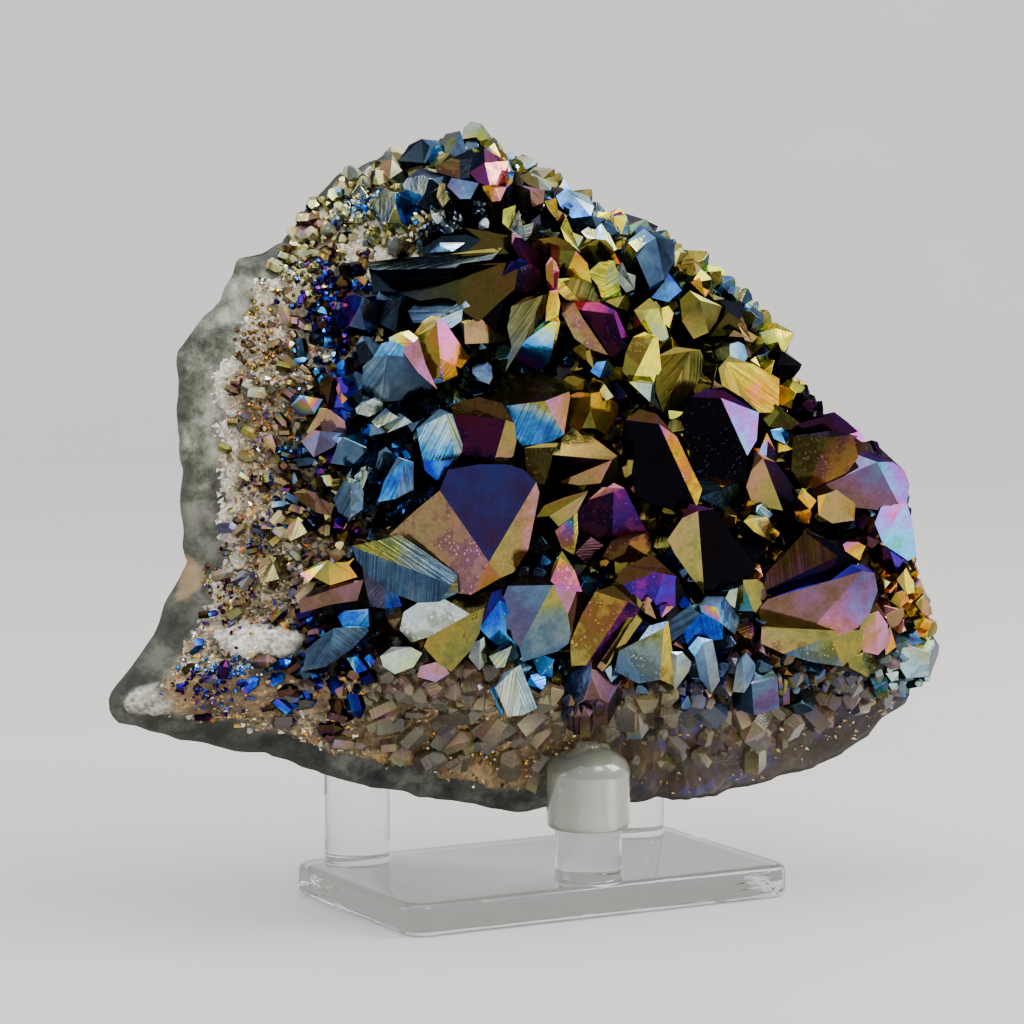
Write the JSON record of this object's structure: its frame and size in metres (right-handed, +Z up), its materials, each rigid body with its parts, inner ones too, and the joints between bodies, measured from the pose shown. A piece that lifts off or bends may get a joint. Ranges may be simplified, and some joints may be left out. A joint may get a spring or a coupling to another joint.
{
  "type": "aura quartz cluster on a display stand",
  "caption": "Shard of quartz crystals with an iridescent metal coating, resting on the soft caps of a clear three-peg display stand.",
  "frame": {"origin": "middle of the stand plate's underside", "axes": "+X along the plate and the stone's length, -Y towards the side on which the crystals show, +Z up"},
  "size_m": [0.1782, 0.0733, 0.1502],
  "materials": {
    "quartz": "polished",
    "acrylic": "polished",
    "soft_cap": "satin"
  },
  "bodies": {
    "root": {"quartz_cluster": "quartz", "stand_plate": "acrylic", "peg_front": "acrylic", "peg_back_left": "acrylic", "peg_back_right": "acrylic", "cap_front": "soft_cap", "cap_back_left": "soft_cap", "cap_back_right": "soft_cap"}
  },
  "joints": []
}
